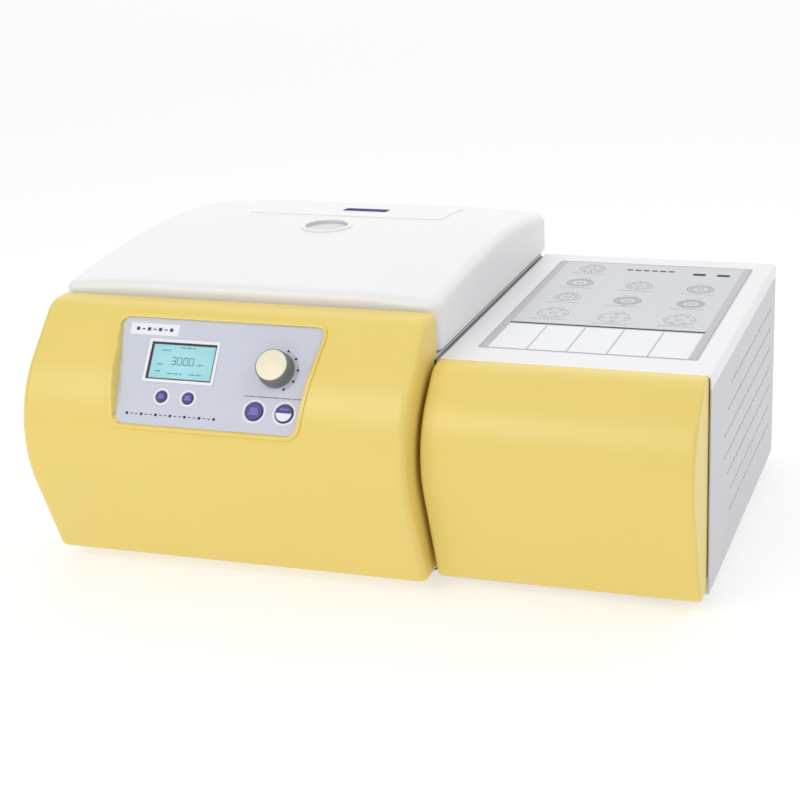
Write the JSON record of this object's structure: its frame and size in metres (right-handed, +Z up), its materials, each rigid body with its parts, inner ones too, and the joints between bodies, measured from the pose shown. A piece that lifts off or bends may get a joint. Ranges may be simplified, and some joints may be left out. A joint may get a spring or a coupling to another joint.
{
  "type": "refrigerated bench-top centrifuge",
  "caption": "Bench-top centrifuge with a bowed yellow front, a white rear-hinged lid over a fixed-angle rotor, and a cooling unit joined to its right side.",
  "frame": {"origin": "under the middle of the machine's footprint, on the bench", "axes": "+X to the right, from the rotor unit to the cooling unit; +Y to the back; +Z up"},
  "size_m": [0.69, 0.535, 0.3095],
  "materials": {
    "white_enamel": "satin powder coat",
    "yellow_moulding": "satin moulded",
    "white_moulding": "satin moulded",
    "liner_plastic": "fine matt",
    "control_film": "printed film",
    "black_plastic": "fine matt",
    "lcd_glass": "lit liquid-crystal window",
    "circuit_board": "solder mask",
    "component_metal": "satin",
    "knob_cream": "satin moulded",
    "knob_grey": "fine matt",
    "button_blue": "satin moulded",
    "label_film": "printed film",
    "blue_inlay": "satin",
    "stainless": "brushed",
    "zinc_steel": "zinc plated",
    "foam": "rigid foam",
    "copper": "bright tube",
    "rubber": "matt",
    "gasket_rubber": "matt",
    "rotor_alloy": "hard anodised",
    "motor_enamel": "black enamel",
    "cast_alloy": "cast",
    "clear_window": "smoked clear",
    "contact_brass": "bright"
  },
  "bodies": {
    "base": {"base_pan": "zinc_steel", "feet": "rubber", "main_left_panel": "white_enamel", "divider_wall": "zinc_steel", "main_rear_panel": "white_enamel", "top_deck": "white_enamel", "cooling_top_cover": "white_enamel", "cooling_side_panel": "white_enamel", "cooling_rear_panel": "white_enamel", "main_front_panel": "yellow_moulding", "cooling_front_panel": "yellow_moulding", "control_plate": "control_film", "lcd_bezel": "white_moulding", "lcd_glass": "lcd_glass", "lcd_module": "component_metal", "control_board": "circuit_board", "switches_and_encoder": "black_plastic", "chamber_bowl": "stainless", "chamber_insulation": "foam", "evaporator_coil": "copper", "chamber_gasket": "gasket_rubber", "rubber_mounts": "rubber", "motor_bracket": "zinc_steel", "motor_housing": "cast_alloy", "hinge_brackets": "zinc_steel", "lid_springs": "stainless", "latch_housing": "black_plastic", "motor_drive": "cast_alloy", "mains_inlet": "black_plastic", "inlet_pins": "contact_brass", "power_switch_housing": "black_plastic", "fuse_holder": "black_plastic", "compressor": "motor_enamel", "condenser": "cast_alloy", "fan_shroud": "black_plastic", "fan_motor": "black_plastic", "refrigerant_lines": "copper", "rotor_chart_label": "label_film", "cover_screws": "zinc_steel"},
    "lid": {"lid_shell": "white_moulding", "lid_liner": "liner_plastic", "sight_glass_ring": "white_moulding", "sight_glass": "clear_window", "lid_rear_strip": "white_moulding", "lid_blue_bar": "blue_inlay", "hinge_pin": "stainless", "hinge_leaves": "zinc_steel", "latch_hook": "zinc_steel"},
    "rotor": {"rotor": "rotor_alloy", "spindle": "stainless", "rotor_nut": "stainless"},
    "knob": {"knob_skirt": "knob_grey", "knob_cap": "knob_cream"},
    "button_pulse": {"button_pulse": "button_blue"},
    "button_menu": {"button_menu": "button_blue"},
    "button_start": {"button_start": "button_blue"},
    "button_stop": {"button_stop": "button_blue"},
    "latch_bolt": {"latch_bolt": "stainless"},
    "fan": {"fan_blades": "black_plastic"},
    "power_rocker": {"power_rocker": "black_plastic"}
  },
  "joints": [
    {"name": "lid_hinge", "type": "hinge", "parent": "base", "child": "lid", "pos_m": [-0.129, 0.256, 0.246], "axis": [-1, 0, 0], "range_deg": [0, 75]},
    {"name": "rotor_spin", "type": "hinge", "parent": "base", "child": "rotor", "pos_m": [-0.129, 0.065, 0.124], "axis": [0, 0, 1], "continuous": true},
    {"name": "knob_turn", "type": "hinge", "parent": "base", "child": "knob", "pos_m": [-0.075, -0.22286, 0.2335], "axis": [0, -0.7933, 0.6088], "continuous": true},
    {"name": "button_pulse_press", "type": "slide", "parent": "base", "child": "button_pulse", "axis": [0, 0.7933, -0.6088], "range_m": [0, 0.0012], "stiffness_N_per_m": 600, "springref_m": -0.001},
    {"name": "button_menu_press", "type": "slide", "parent": "base", "child": "button_menu", "axis": [0, 0.7933, -0.6088], "range_m": [0, 0.0012], "stiffness_N_per_m": 600, "springref_m": -0.001},
    {"name": "button_start_press", "type": "slide", "parent": "base", "child": "button_start", "axis": [0, 0.7933, -0.6088], "range_m": [0, 0.0012], "stiffness_N_per_m": 600, "springref_m": -0.001},
    {"name": "button_stop_press", "type": "slide", "parent": "base", "child": "button_stop", "axis": [0, 0.7933, -0.6088], "range_m": [0, 0.0012], "stiffness_N_per_m": 600, "springref_m": -0.001},
    {"name": "latch_slide", "type": "slide", "parent": "base", "child": "latch_bolt", "axis": [-1, 0, 0], "range_m": [0, 0.016], "stiffness_N_per_m": 60, "springref_m": -0.004},
    {"name": "fan_spin", "type": "hinge", "parent": "base", "child": "fan", "pos_m": [0.2, 0.234, 0.12], "axis": [0, 1, 0], "continuous": true},
    {"name": "rocker_tilt", "type": "hinge", "parent": "base", "child": "power_rocker", "pos_m": [-0.235, 0.244, 0.064], "axis": [1, 0, 0], "range_deg": [0, 16]}
  ]
}
